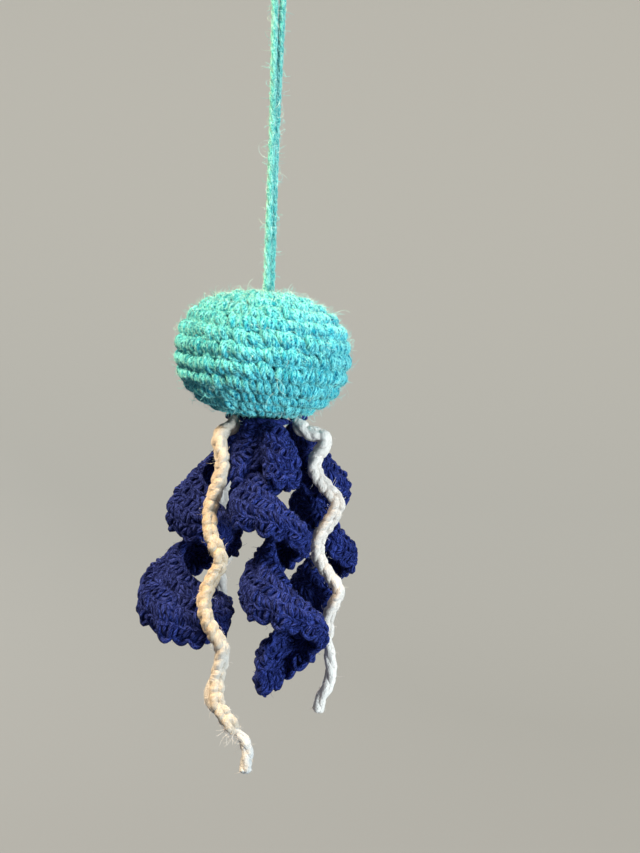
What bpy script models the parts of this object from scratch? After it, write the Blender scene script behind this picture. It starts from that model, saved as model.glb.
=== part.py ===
# Crochet jellyfish charm: a stuffed crocheted bell that hangs from a doubled
# yarn loop, with three crocheted corkscrew curls and three wavy chain-stitch
# tentacles sewn under it. The origin is the point that the loop hangs from,
# +Z is up, and the front is at -Y. Lengths are in millimetres up to build_mesh.

import math

import bmesh
import bpy
import numpy as np
from mathutils import Matrix, Vector

METRES = 0.001

# Driving dimensions, in millimetres
LOOP_DROP = 134.0            # hanging point down to the crown of the bell
LOOP_YARN = 2.5              # diameter of the plied yarn of the hanging loop
STRAND_SPACING = 2.9         # between the centres of the loop's two strands

BELL_WIDTH = 60.0
BELL_HEIGHT = 43.4
BELL_SQUARENESS = 2.35       # exponent of the superellipse, 2 is a plain ellipse
BELL_TILT = math.radians(3.4)     # the crown leans to the right
BELL_NOD = math.radians(1.5)      # and a little towards the front
COVER_WALL = 3.2
ROUNDS = 14                  # rounds of single crochet from crown to base
STITCHES = 36                # stitches in a round
GROOVE_DEPTH = 1.0           # furrow between two rounds
STITCH_RELIEF = 0.45         # dip between two stitches of a round

SEAT_GAP = 0.3               # between pieces that lie against each other
FILLING_EASE = 0.5           # between the cover and the filling pressed in it
CROWN_PLAY = 0.5             # room round the two strands in the crown
KNOT_WIDTH = 9.0
KNOT_HEIGHT = 6.0
KNOT_DENT = 0.3              # dip between two wraps of the knot
POCKET_FLARE = 0.6           # how much wider the knot's pocket is at its mouth
POCKET_LIP = 1.2             # depth of that flare
POCKET_FOOT = 1.0            # height of the slope round the pocket's floor
POCKET_FLOOR = 0.7           # share of the pocket's width that is flat floor

STRIP_THICKNESS = 3.4        # crocheted strip of the curls
STITCH_BUMP = 0.6            # relief of its stitches, which are staggered
STRIP_EDGE = 0.6             # share of the thickness left at its two edges
STRIP_START = 0.55           # share of the drop at either end of the strip
STRIP_GROWTH = 0.22          # and how much of it each next station adds
STRIP_INNER_REACH = 2.2      # inner edge of a curl from its own axis
STRIP_LEAN = math.radians(44.0)   # slope of the strip at its inner edge
STRIP_TUCK = math.radians(118.0)  # and at its rim, which turns in under itself
STRIP_BEND_FROM = 0.45            # share of the width that stays straight
SCALLOP = 1.5                # how far every other stitch of the rim stands out

TENTACLE_WIDTH = 5.2         # chain-stitch cord
TAIL_WIDTH = 3.9             # loose yarn end of a tentacle
CORD_STEP = 3.4              # between two points of a tentacle's centre line
TAIL_TAPER = 0.02            # share of the route on each side of the tail's start

MERIDIAN_STEPS = 1440        # fine steps that the bell's outline is read in
ROUTE_STEPS = 40             # and a route, from one of its points to the next
STATIONS_PER_TURN = 22
STRIP_ROWS = 4
KNOT_COLUMNS = 24
KNOT_LEVELS = 8
BEND_POINTS = 7              # round the top bend of the loop
CORD_ROUNDNESS = 2           # bevel resolution of the cords


# How a curl hangs. Each row is one place along the strip: turns from the left
# side (a quarter turn later the strip is in front), the shift of the curl's
# axis from its seat in X, Y and Z, how far the rim reaches from that axis, and
# how far the rim hangs below the inner edge.
FRONT_CURL = [
    (-0.16, 0.2, -0.2, -0.9, 8.6, 15.0),
    (0.00, 0.2, -0.6, -0.9, 10.4, 17.0),
    (0.12, 0.2, -1.0, -0.9, 9.4, 11.0),
    (0.24, 0.2, -1.8, -1.2, 8.6, 4.2),
    (0.36, 0.4, -2.8, -2.2, 9.6, 9.5),
    (0.50, 0.4, -3.4, -3.4, 9.8, 13.5),
    (0.75, 0.2, -4.6, -9.0, 10.8, 15.5),
    (1.00, 0.0, -5.4, -16.2, 10.4, 15.5),
    (1.25, 0.6, -5.4, -21.4, 11.8, 13.0),
    (1.50, 2.4, -5.4, -29.6, 12.4, 12.0),
    (1.75, 4.4, -5.4, -35.2, 12.0, 16.0),
    (2.00, 6.0, -5.4, -42.6, 11.4, 18.6),
    (2.25, 7.2, -5.4, -51.0, 12.6, 14.0),
    (2.50, 8.6, -5.2, -60.4, 13.1, 12.0),
    (2.75, 9.6, -5.0, -65.0, 11.8, 21.5),
    (2.88, 10.6, -5.0, -66.4, 11.6, 24.5),
    (3.00, 11.4, -5.0, -67.4, 11.0, 21.0),
    (3.08, 12.0, -5.0, -68.0, 10.4, 18.0),
]
LEFT_CURL = [
    (0.45, -0.4, 0.0, -0.9, 6.5, 9.0),
    (0.75, -3.4, -0.6, -9.0, 9.0, 13.0),
    (1.00, -9.2, -1.4, -19.4, 11.8, 16.5),
    (1.25, -10.6, -1.8, -24.8, 12.6, 16.0),
    (1.50, -11.4, -2.2, -30.6, 12.2, 15.0),
    (1.75, -13.2, -2.4, -38.8, 13.0, 15.5),
    (2.00, -15.6, -2.4, -48.0, 15.6, 18.0),
    (2.25, -15.8, -2.4, -54.6, 15.0, 20.5),
    (2.50, -15.8, -2.4, -58.0, 14.8, 15.0),
    (2.56, -15.8, -2.4, -58.4, 13.8, 14.0),
]
REAR_CURL = [
    (0.05, 0.4, 0.2, -0.8, 5.6, 9.0),
    (0.25, 2.4, 1.4, -5.0, 6.4, 10.5),
    (0.50, 7.2, 3.0, -14.0, 10.4, 12.5),
    (0.75, 8.6, 4.2, -18.6, 9.6, 12.5),
    (1.00, 9.4, 4.8, -22.4, 9.4, 13.0),
    (1.25, 10.0, 4.8, -30.6, 9.6, 12.5),
    (1.50, 11.0, 4.8, -39.6, 10.2, 12.5),
    (1.75, 11.2, 4.8, -45.0, 9.6, 12.0),
    (2.00, 10.8, 4.8, -50.2, 9.4, 12.5),
    (2.25, 10.8, 4.6, -56.0, 8.8, 10.5),
    (2.36, 10.8, 4.6, -57.6, 8.0, 9.5),
]

# Where each hanging piece is sewn on: name, bearing round the base in degrees
# (0 is +X, -90 is the front) and distance from the middle of the base.
CURLS = {
    "front_curl": (-66.0, 9.0, FRONT_CURL),
    "left_curl": (146.0, 7.8, LEFT_CURL),
    "rear_curl": (26.0, 15.0, REAR_CURL),
}

# Routes of the tentacles from their seats, and where the loose yarn end starts
# as a share of the route.
LEFT_TENTACLE = [
    (0.0, 0.0, -0.2), (-0.9, -1.0, -3.2), (-3.2, -2.8, -4.6), (-4.9, -4.6, -6.8),
    (-4.3, -6.0, -10.6), (-3.3, -7.0, -15.2), (-4.0, -7.2, -19.8), (-5.4, -7.2, -24.8),
    (-6.8, -7.6, -29.6), (-7.1, -8.4, -34.8), (-6.1, -9.0, -39.8), (-3.8, -8.8, -44.6),
    (-2.9, -8.2, -48.4), (-4.9, -7.8, -52.6), (-7.1, -8.0, -57.4), (-7.9, -8.8, -61.8),
    (-6.9, -9.6, -66.8), (-4.4, -9.6, -71.8), (-1.8, -8.8, -75.8), (-1.4, -7.8, -80.4),
    (-2.6, -7.2, -85.8), (-2.8, -7.6, -90.8), (-2.4, -8.2, -95.4), (0.2, -8.2, -100.0),
    (3.2, -7.6, -103.8), (6.4, -7.0, -107.2), (8.2, -6.8, -111.2), (8.1, -6.8, -115.0),
    (7.9, -6.8, -118.6),
]
RIGHT_TENTACLE = [
    (0.0, 0.0, -0.2), (1.8, -0.2, -3.3), (5.4, -0.4, -5.0), (9.2, -0.6, -5.8),
    (9.7, -0.8, -8.8), (7.6, -0.8, -11.6), (6.4, -0.4, -15.6), (7.7, 0.0, -19.6),
    (11.8, 0.2, -24.2), (14.8, 0.0, -28.0), (12.9, -0.4, -33.4), (9.6, -0.6, -38.6),
    (8.4, -0.4, -43.4), (9.8, 0.0, -48.6), (13.4, 0.2, -53.6), (16.4, 0.2, -58.2),
    (14.8, 0.0, -62.8), (13.0, 0.2, -67.6), (13.2, 0.8, -72.4), (13.9, 1.0, -77.4),
    (14.5, 0.8, -82.4), (14.8, 0.4, -87.2), (13.7, 0.2, -91.6), (11.7, 0.2, -95.6),
    (10.8, 0.2, -99.6),
]
REAR_TENTACLE = [
    (0.0, 0.0, -0.2), (-0.5, 1.0, -4.0), (-3.4, 4.0, -9.6), (-7.4, 6.6, -16.0),
    (-9.8, 7.8, -22.6), (-11.0, 8.0, -28.6), (-9.8, 8.0, -34.4), (-8.0, 7.8, -40.2),
    (-7.6, 7.4, -45.2), (-8.8, 7.2, -50.0), (-10.4, 7.4, -55.2), (-10.0, 7.6, -60.6),
    (-10.0, 7.6, -66.4),
]
TENTACLES = {
    "left_tentacle": (226.0, 10.2, LEFT_TENTACLE, 0.88),
    "right_tentacle": (-12.0, 13.8, RIGHT_TENTACLE, 0.80),
    "rear_tentacle": (97.0, 10.6, REAR_TENTACLE, 0.86),
}

# One strand of the hanging loop, from the knot up to the top bend. The other
# strand is its half turn about the line of the loop. X and Y are in spacings
# of half a strand, Z is a share of the way from the knot to the top bend.
STRAND_ROUTE = [
    (-0.55, -0.83, 0.00), (-0.53, -0.85, 0.08), (-0.50, -0.87, 0.18),
    (-0.46, -0.89, 0.28), (-0.44, -0.90, 0.38), (-0.50, -0.87, 0.48),
    (-0.62, -0.79, 0.58), (-0.79, -0.62, 0.68), (-0.94, -0.38, 0.77),
    (-1.06, -0.12, 0.86), (-1.90, 0.00, 0.93), (-3.60, 0.00, 1.00),
]
EYE_RADIUS = 3.6 * STRAND_SPACING / 2      # top bend of the loop


def superellipse_radius(share_of_height):
    """Share of the half width left at a share of the half height."""
    n = BELL_SQUARENESS
    return (1.0 - np.abs(share_of_height) ** n) ** (1.0 / n)


def bell_meridian(inset):
    """Radius and height of a meridian, crown to base, with its arc length."""
    a = np.linspace(math.pi / 2, -math.pi / 2, MERIDIAN_STEPS + 1)
    power = 2.0 / BELL_SQUARENESS
    radius = (BELL_WIDTH / 2 - inset) * np.abs(np.cos(a)) ** power
    height = (BELL_HEIGHT / 2 - inset) * np.sign(np.sin(a)) * np.abs(np.sin(a)) ** power
    arc = np.concatenate([[0.0], np.cumsum(np.hypot(np.diff(radius), np.diff(height)))])
    return radius, height, arc


def arc_at_radius(radius, arc, wanted):
    """Length along the upper half of a meridian down to a radius."""
    crown = slice(MERIDIAN_STEPS // 2)
    return np.interp(wanted, radius[crown], arc[crown])


def crown_hole_radius():
    return STRAND_SPACING / 2 + LOOP_YARN / 2 + CROWN_PLAY


def bell_frame():
    """Matrix from the bell's own frame, centred in it, to the charm's."""
    crown = Matrix.Translation((0.0, 0.0, -LOOP_DROP))
    lean = Matrix.Rotation(BELL_TILT, 4, "Y") @ Matrix.Rotation(BELL_NOD, 4, "X")
    return crown @ lean @ Matrix.Translation((0.0, 0.0, -BELL_HEIGHT / 2))


def base_seat(bearing, distance):
    """Point just clear of the bell's underside, at a bearing and a distance."""
    share = distance / (BELL_WIDTH / 2)
    drop = BELL_HEIGHT / 2 * superellipse_radius(share)
    angle = math.radians(bearing)
    point = (distance * math.cos(angle), distance * math.sin(angle), -drop - SEAT_GAP)
    return bell_frame() @ Vector(point)


def smooth(rows, at):
    """Rows of numbers read as one smooth curve at the places given by at."""
    rows = np.asarray(rows, float)
    padded = np.vstack([2 * rows[0] - rows[1], rows, 2 * rows[-1] - rows[-2]])
    at = np.clip(np.asarray(at, float), 0.0, len(rows) - 1.0)
    left = np.minimum(at.astype(int), len(rows) - 2)
    f = (at - left)[:, None]
    p0, p1, p2, p3 = (padded[left + k] for k in range(4))
    return 0.5 * (2 * p1 + (p2 - p0) * f + (2 * p0 - 5 * p1 + 4 * p2 - p3) * f ** 2
                  + (3 * p1 - p0 - 3 * p2 + p3) * f ** 3)


def even_points(route, count):
    """Count points evenly spaced along the smooth curve through a route."""
    fine = smooth(route, np.linspace(0.0, len(route) - 1.0, ROUTE_STEPS * len(route)))
    arc = np.concatenate([[0.0], np.cumsum(np.linalg.norm(np.diff(fine, axis=0), axis=1))])
    wanted = np.linspace(0.0, arc[-1], count)
    return np.stack([np.interp(wanted, arc, fine[:, k]) for k in range(3)], axis=1), arc[-1]


def material(name, colour, roughness):
    made = bpy.data.materials.new(name)
    made.use_nodes = True
    shader = made.node_tree.nodes["Principled BSDF"]
    shader.inputs["Base Color"].default_value = (*colour, 1.0)
    shader.inputs["Roughness"].default_value = roughness
    shader.inputs["Metallic"].default_value = 0.0
    return made


def build_mesh(name, rings, finish, closed_ends, frame=Matrix.Identity(4)):
    """Skin of rings of points. Each end is a flat face or a single pole point."""
    mesh = bpy.data.meshes.new(name)
    shape = bmesh.new()
    place = Matrix.Scale(METRES, 4) @ frame
    loops = [[shape.verts.new(place @ Vector(p)) for p in ring] for ring in rings]
    for upper, lower in zip(loops, loops[1:]):
        join_rings(shape, upper, lower)
    if closed_ends:
        for ring in (loops[0], loops[-1]):
            if len(ring) > 1:
                shape.faces.new(ring)
    else:
        join_rings(shape, loops[-1], loops[0])
    bmesh.ops.recalc_face_normals(shape, faces=shape.faces)
    shape.to_mesh(mesh)
    shape.free()
    mesh.materials.append(finish)
    mesh.shade_smooth()
    piece = bpy.data.objects.new(name, mesh)
    bpy.context.scene.collection.objects.link(piece)
    return piece


def join_rings(shape, upper, lower):
    """Faces between two rings. One ring may have fewer points, down to a pole."""
    count = max(len(upper), len(lower))
    for i in range(count):
        corners = []
        for ring, k in ((upper, i), (upper, i + 1), (lower, i + 1), (lower, i)):
            vertex = ring[k % count * len(ring) // count]
            if vertex not in corners:
                corners.append(vertex)
        shape.faces.new(corners)


def stitched_rings():
    """Outside of the cover: rounds with a furrow between, stitches staggered."""
    radius, height, arc = bell_meridian(0.0)
    start = arc_at_radius(radius, arc, crown_hole_radius())
    columns = 2 * STITCHES
    angles = np.arange(columns) * 2 * math.pi / columns
    rings = []
    for row in range(2 * ROUNDS):
        along = start + (arc[-1] - start) * row / (2 * ROUNDS)
        r = np.interp(along, arc, radius)
        z = np.interp(along, arc, height)
        room = min(1.0, r / (BELL_WIDTH / 4)) if row else 0.0
        dips = STITCH_RELIEF * ((np.arange(columns) + row // 2) % 2)
        furrow = np.full(columns, GROOVE_DEPTH)
        sunk = room * (dips if row % 2 else furrow)
        rings.append([(r * (1.0 - d / (BELL_WIDTH / 2)) * math.cos(a),
                       r * (1.0 - d / (BELL_WIDTH / 2)) * math.sin(a),
                       z * (1.0 - d / (BELL_HEIGHT / 2)))
                      for a, d in zip(angles, sunk)])
    rings.append([(0.0, 0.0, -BELL_HEIGHT / 2)])
    return rings


def lining_rings(inset, hole, columns):
    """A smooth bell surface set in from the outside, base to crown hole."""
    radius, height, arc = bell_meridian(inset)
    start = arc_at_radius(radius, arc, hole)
    angles = np.arange(columns) * 2 * math.pi / columns
    rings = [[(0.0, 0.0, height[-1])]]
    for row in range(1, ROUNDS + 1):
        along = arc[-1] + (start - arc[-1]) * row / ROUNDS
        r = np.interp(along, arc, radius)
        z = np.interp(along, arc, height)
        rings.append([(r * math.cos(a), r * math.sin(a), z) for a in angles])
    return rings


def make_bell_cover(finish):
    """Crocheted shell, open at the crown where the loop's strands go in."""
    outside = stitched_rings()
    inside = lining_rings(COVER_WALL, crown_hole_radius(), STITCHES)
    rings = outside[::-1] + inside[::-1]
    return build_mesh("bell_cover", rings, finish, True, bell_frame())


def make_bell_stuffing(finish):
    """Toy filling that holds the cover round, with a pocket for the knot."""
    wall = KNOT_WIDTH / 2 + SEAT_GAP
    columns = STITCHES // 2
    skin = lining_rings(COVER_WALL + FILLING_EASE, wall + POCKET_FLARE, columns)
    top = BELL_HEIGHT / 2 - COVER_WALL - FILLING_EASE
    floor = top - KNOT_HEIGHT - SEAT_GAP
    angles = np.arange(columns) * 2 * math.pi / columns
    steps = ((wall, top - POCKET_LIP), (wall, floor + POCKET_FOOT), (POCKET_FLOOR * wall, floor))
    pocket = [[(r * math.cos(a), r * math.sin(a), z) for a in angles] for r, z in steps]
    return build_mesh("bell_stuffing", skin + pocket + [[(0.0, 0.0, floor)]], finish,
                      True, bell_frame())


def make_loop_knot(finish):
    """Overhand knot that stops the loop's ends under the crown."""
    top = BELL_HEIGHT / 2 - COVER_WALL - SEAT_GAP
    angles = np.arange(KNOT_COLUMNS) * 2 * math.pi / KNOT_COLUMNS
    wraps = KNOT_WIDTH / 2 - KNOT_DENT * (np.arange(KNOT_COLUMNS) % 2)
    rings = [[(0.0, 0.0, top)]]
    for k, level in enumerate(np.linspace(0.0, math.pi, KNOT_LEVELS)[1:-1]):
        z = top - KNOT_HEIGHT / 2 * (1.0 - math.cos(level))
        turned = angles + k * math.pi / KNOT_COLUMNS
        rings.append([(r * math.sin(level) * math.cos(a), r * math.sin(level) * math.sin(a), z)
                      for r, a in zip(wraps, turned)])
    rings.append([(0.0, 0.0, top - KNOT_HEIGHT)])
    return build_mesh("loop_knot", rings, finish, True, bell_frame())


def strip_section(reach, drop, station):
    """Section of a crocheted strip that leans out from its inner edge, bends
    down and tucks in at the rim. Both faces carry its staggered stitches."""
    steps = np.linspace(0.0, 1.0, 2 * STRIP_ROWS - 1)
    bend = np.clip((steps - STRIP_BEND_FROM) / (1.0 - STRIP_BEND_FROM), 0.0, 1.0)
    angle = STRIP_LEAN + (STRIP_TUCK - STRIP_LEAN) * bend
    out = np.concatenate([[0.0], np.cumsum(np.cos((angle[1:] + angle[:-1]) / 2))])
    down = np.concatenate([[0.0], np.cumsum(np.sin((angle[1:] + angle[:-1]) / 2))])
    out = STRIP_INNER_REACH + (reach - STRIP_INNER_REACH) * out / out.max()
    down = drop * down / down[-1]
    out[-1] += SCALLOP * (station % 2)
    slope = np.arctan2(np.gradient(down), np.gradient(out))
    half = STRIP_THICKNESS / 2 - STITCH_BUMP * ((np.arange(len(steps)) + station) % 2)
    half[[0, -1]] *= STRIP_EDGE
    upper = np.stack([out + half * np.sin(slope), -down + half * np.cos(slope)], axis=1)
    under = np.stack([out - half * np.sin(slope), -down - half * np.cos(slope)], axis=1)
    return np.vstack([upper, under[::-1]])


def make_curl(name, finish):
    """Left-handed corkscrew strip, laid through its list of stations."""
    bearing, distance, stations = CURLS[name]
    seat = np.array(base_seat(bearing, distance))
    turns = [row[0] for row in stations]
    count = round((turns[-1] - turns[0]) * STATIONS_PER_TURN) + 1
    wanted = np.linspace(turns[0], turns[-1], count)
    places = smooth(stations, np.interp(wanted, turns, np.arange(len(turns))))
    rings = []
    for k, (turn, (x, y, z, reach, drop)) in enumerate(zip(wanted, places[:, 1:])):
        angle = math.pi + 2 * math.pi * turn
        outward = np.array([math.cos(angle), math.sin(angle), 0.0])
        end = min(1.0, STRIP_START + STRIP_GROWTH * min(k, count - 1 - k))
        section = strip_section(reach, drop * end, k)
        axis = seat + np.array([x, y, z])
        rings.append([axis + p * outward + np.array([0.0, 0.0, h]) for p, h in section])
    return build_mesh(name, rings, finish, True)


def make_cord(name, points, widths, finish):
    """Tube along points, each with its own width, closed at both ends."""
    curve = bpy.data.curves.new(name, "CURVE")
    curve.dimensions = "3D"
    curve.bevel_depth = max(widths) / 2 * METRES
    curve.bevel_resolution = CORD_ROUNDNESS
    curve.use_fill_caps = True
    spline = curve.splines.new("POLY")
    spline.points.add(len(points) - 1)
    for point, place, width in zip(spline.points, points, widths):
        point.co = (*(np.asarray(place) * METRES), 1.0)
        point.radius = width / max(widths)
    curve.materials.append(finish)
    piece = bpy.data.objects.new(name, curve)
    bpy.context.scene.collection.objects.link(piece)
    return piece


def make_tentacle(name, finish):
    """Chain-stitch cord that ends in a loose yarn end."""
    bearing, distance, route, tail_from = TENTACLES[name]
    seat = np.array(base_seat(bearing, distance))
    length = even_points(route, 2)[1]
    points, _ = even_points(route, round(length / CORD_STEP))
    share = np.linspace(0.0, 1.0, len(points))
    widths = np.interp(share, [tail_from - TAIL_TAPER, tail_from + TAIL_TAPER],
                       [TENTACLE_WIDTH, TAIL_WIDTH])
    return make_cord(name, points + seat, widths, finish)


def make_hanging_loop(finish):
    """One yarn, up from the knot, round the top bend and back down beside itself."""
    bottom = -LOOP_DROP - COVER_WALL
    top = LOOP_YARN / 2 - EYE_RADIUS
    rows = np.array(STRAND_ROUTE)
    up = np.stack([rows[:, 0] * STRAND_SPACING / 2, rows[:, 1] * STRAND_SPACING / 2,
                   bottom + (top - bottom) * rows[:, 2]], axis=1)
    bend = [(-EYE_RADIUS * math.cos(a), 0.0, top + EYE_RADIUS * math.sin(a))
            for a in np.linspace(0.0, math.pi, BEND_POINTS)[1:-1]]
    down = up[::-1] * np.array([-1.0, -1.0, 1.0])
    route = np.vstack([up, bend, down])
    length = even_points(route, 2)[1]
    points, _ = even_points(route, round(length / (2.0 * LOOP_YARN)))
    return make_cord("hanging_loop", points, [LOOP_YARN] * len(points), finish)


def main():
    for old in list(bpy.data.objects):
        bpy.data.objects.remove(old)
    turquoise = material("turquoise_yarn", (0.10, 0.55, 0.50), 0.9)
    navy = material("navy_yarn", (0.02, 0.025, 0.12), 0.9)
    cream = material("cream_yarn", (0.75, 0.66, 0.50), 0.9)
    filling = material("toy_filling", (0.85, 0.85, 0.82), 1.0)
    make_bell_cover(turquoise)
    make_bell_stuffing(filling)
    make_loop_knot(turquoise)
    make_hanging_loop(turquoise)
    for name in CURLS:
        make_curl(name, navy)
    for name in TENTACLES:
        make_tentacle(name, cream)


main()
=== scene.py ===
# Crochet jellyfish charm: the yarn, stitches and loose fibres over its frame.
# Shapes are worked out in millimetres and become metres in makePiece.
import math
from functools import partial

import bpy
import numpy as np
from mathutils import Matrix, Vector


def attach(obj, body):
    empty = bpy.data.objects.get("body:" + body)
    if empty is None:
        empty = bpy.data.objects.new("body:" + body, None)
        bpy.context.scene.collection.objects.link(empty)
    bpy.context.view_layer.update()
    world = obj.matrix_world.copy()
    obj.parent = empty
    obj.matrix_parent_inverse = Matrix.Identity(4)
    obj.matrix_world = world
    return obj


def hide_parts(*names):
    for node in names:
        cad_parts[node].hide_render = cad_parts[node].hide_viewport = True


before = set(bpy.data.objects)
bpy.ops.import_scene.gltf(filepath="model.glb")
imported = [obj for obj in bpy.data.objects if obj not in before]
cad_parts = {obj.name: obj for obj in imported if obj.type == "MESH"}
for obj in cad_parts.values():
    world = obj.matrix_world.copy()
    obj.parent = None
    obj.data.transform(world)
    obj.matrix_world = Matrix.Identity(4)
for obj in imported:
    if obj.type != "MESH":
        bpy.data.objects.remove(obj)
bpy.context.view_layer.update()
mm = 0.001


# Helpers for arrays

def unit(vectors):
    return vectors / np.maximum(np.linalg.norm(vectors, axis=-1, keepdims=True), 1e-9)


def smooth(rows, at):
    # Catmull-Rom curve through the rows, read at the places given by at
    rows = np.asarray(rows, float)
    padded = np.vstack([2 * rows[0] - rows[1], rows, 2 * rows[-1] - rows[-2]])
    at = np.clip(np.asarray(at, float), 0.0, len(rows) - 1.0)
    left = np.minimum(at.astype(int), len(rows) - 2)
    f = (at - left)[..., None]
    p0, p1, p2, p3 = (padded[left + k] for k in range(4))
    return 0.5 * (2 * p1 + (p2 - p0) * f + (2 * p0 - 5 * p1 + 4 * p2 - p3) * f ** 2
                  + (3 * p1 - p0 - 3 * p2 + p3) * f ** 3)


def lineLength(points):
    return float(np.linalg.norm(np.diff(points, axis=0), axis=1).sum())


def runningLength(points):
    return np.concatenate([[0.0], np.cumsum(np.linalg.norm(np.diff(points, axis=0), axis=1))])


def evenPath(route, step):
    # points a fixed step apart along the smooth curve through a route
    fine = smooth(route, np.linspace(0.0, len(route) - 1.0, 60 * len(route)))
    arc = runningLength(fine)
    wanted = np.linspace(0.0, arc[-1], max(2, round(arc[-1] / step)))
    return np.stack([np.interp(wanted, arc, fine[:, k]) for k in range(3)], axis=1)


def turned(radius, theta, height):
    # points at a radius and an angle round the Z axis, and at a height
    return np.stack(np.broadcast_arrays(radius * np.cos(theta), radius * np.sin(theta), height), axis=-1)


def cornerMap(corners, axis):
    return np.stack([np.stack(corner, -1) for corner in corners], axis=axis)


def ringsToShape(rings, startPole, endPole, along, tone):
    # rings (strands, rings, sides, 3) skinned into closed tubes, each end drawn to a pole
    n, m, k = rings.shape[:3]
    size = m * k + 2
    base = (np.arange(n) * size)[:, None, None]
    ring = np.arange(m - 1)[None, :, None] * k
    here = np.arange(k)[None, None, :]
    there = (here + 1) % k
    quads = np.stack(np.broadcast_arrays(base + ring + here, base + ring + k + here,
                                         base + ring + k + there, base + ring + there), axis=-1)
    quads = quads.reshape(-1, 4)
    base = base[:, :, 0]
    here, there = here[0], there[0]
    first = np.stack(np.broadcast_arrays(base + m * k, base + here, base + there), axis=-1)
    last = np.stack(np.broadcast_arrays(base + m * k + 1, base + (m - 1) * k + there,
                                        base + (m - 1) * k + here), axis=-1)
    tris = np.concatenate([first.reshape(-1, 3), last.reshape(-1, 3)])
    verts = np.concatenate([rings.reshape(n, -1, 3), startPole[:, None], endPole[:, None]], axis=1)
    u = np.broadcast_to(along[:, :, None], (n, m, k))
    uStart, uEnd = u[:, :-1], u[:, 1:]
    v = np.broadcast_to(np.arange(k) / k, (n, m - 1, k))
    quadUv = cornerMap([(uStart, v), (uEnd, v), (uEnd, v + 1 / k), (uStart, v + 1 / k)], 3)
    vEdge = np.broadcast_to(np.arange(k) / k, (n, k))
    firstU = np.broadcast_to(along[:, :1], (n, k))
    lastU = np.broadcast_to(along[:, -1:], (n, k))
    firstUv = cornerMap([(firstU - 1, vEdge + 0.5 / k), (firstU, vEdge), (firstU, vEdge + 1 / k)], 2)
    lastUv = cornerMap([(lastU + 1, vEdge + 0.5 / k), (lastU, vEdge + 1 / k), (lastU, vEdge)], 2)
    a, b, c, d = (verts.reshape(-1, 3)[quads[:, i]] for i in range(4))
    if np.einsum("ij,ij->", a, np.cross(b, c)) + np.einsum("ij,ij->", a, np.cross(c, d)) < 0:
        quads, quadUv = quads[:, ::-1], quadUv[:, :, :, ::-1]
        tris, firstUv, lastUv = tris[:, ::-1], firstUv[:, :, ::-1], lastUv[:, :, ::-1]
    return {"verts": verts.reshape(-1, 3), "quads": quads, "tris": tris,
            "quadUv": quadUv.reshape(-1, 2),
            "triUv": np.concatenate([firstUv.reshape(-1, 2), lastUv.reshape(-1, 2)]),
            "tone": np.repeat(tone, size), "pale": np.zeros(n * size)}


def sweep(points, refs, radii, sides, tone):
    # A round section of the given radii carried along each line of points. The
    # section is square to the line, and its seam lies away from refs.
    tangent = unit(np.gradient(points, axis=1))
    side = unit(np.cross(tangent, refs))
    other = np.cross(side, tangent)
    angle = np.arange(sides) * 2 * math.pi / sides - math.pi / 2
    spoke = (np.cos(angle)[:, None] * side[:, :, None] + np.sin(angle)[:, None] * other[:, :, None])
    rings = points[:, :, None] + radii[:, :, None, None] * spoke
    steps = np.linalg.norm(np.diff(points, axis=1), axis=2)
    along = np.concatenate([np.zeros((len(points), 1)), np.cumsum(steps, axis=1)], axis=1)
    start = points[:, 0] - tangent[:, 0] * radii[:, :1] * 0.7
    end = points[:, -1] + tangent[:, -1] * radii[:, -1:] * 0.7
    shape = ringsToShape(rings, start, end, along + 40.0 * tone[:, None], tone)
    shape["skin"] = (rings, spoke, tangent)
    return shape


def joined(shapes):
    counts = np.cumsum([0] + [len(s["verts"]) for s in shapes])
    whole = {key: np.concatenate([s[key] for s in shapes])
             for key in ("verts", "quadUv", "triUv", "tone", "pale")}
    for key in ("quads", "tris"):
        whole[key] = np.concatenate([s[key] + c for s, c in zip(shapes, counts)])
    return whole


def makePiece(name, shape, finish):
    mesh = bpy.data.meshes.new(name)
    quads, tris = shape["quads"], shape["tris"]
    corners = np.concatenate([quads.ravel(), tris.ravel()])
    sizes = np.concatenate([np.full(len(quads), 4), np.full(len(tris), 3)])
    mesh.vertices.add(len(shape["verts"]))
    mesh.vertices.foreach_set("co", (shape["verts"] * mm).astype(np.float32).ravel())
    mesh.loops.add(len(corners))
    mesh.loops.foreach_set("vertex_index", corners.astype(np.int32))
    mesh.polygons.add(len(sizes))
    starts = np.concatenate([[0], np.cumsum(sizes)[:-1]])
    mesh.polygons.foreach_set("loop_start", starts.astype(np.int32))
    uvMap = mesh.uv_layers.new(name="yarnMap")
    uvs = np.concatenate([shape["quadUv"], shape["triUv"]])
    uvMap.data.foreach_set("uv", uvs.astype(np.float32).ravel())
    for layer, key in (("yarnTone", "tone"), ("yarnPale", "pale")):
        values = mesh.attributes.new(layer, "FLOAT", "POINT")
        values.data.foreach_set("value", shape[key].astype(np.float32))
    mesh.update(calc_edges=True)
    mesh.shade_smooth()
    mesh.materials.append(finish)
    piece = bpy.data.objects.new(name, mesh)
    bpy.context.scene.collection.objects.link(piece)
    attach(piece, "root")
    print(name, "triangles", 2 * len(quads) + len(tris))
    return piece


# Yarn finishes

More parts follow.
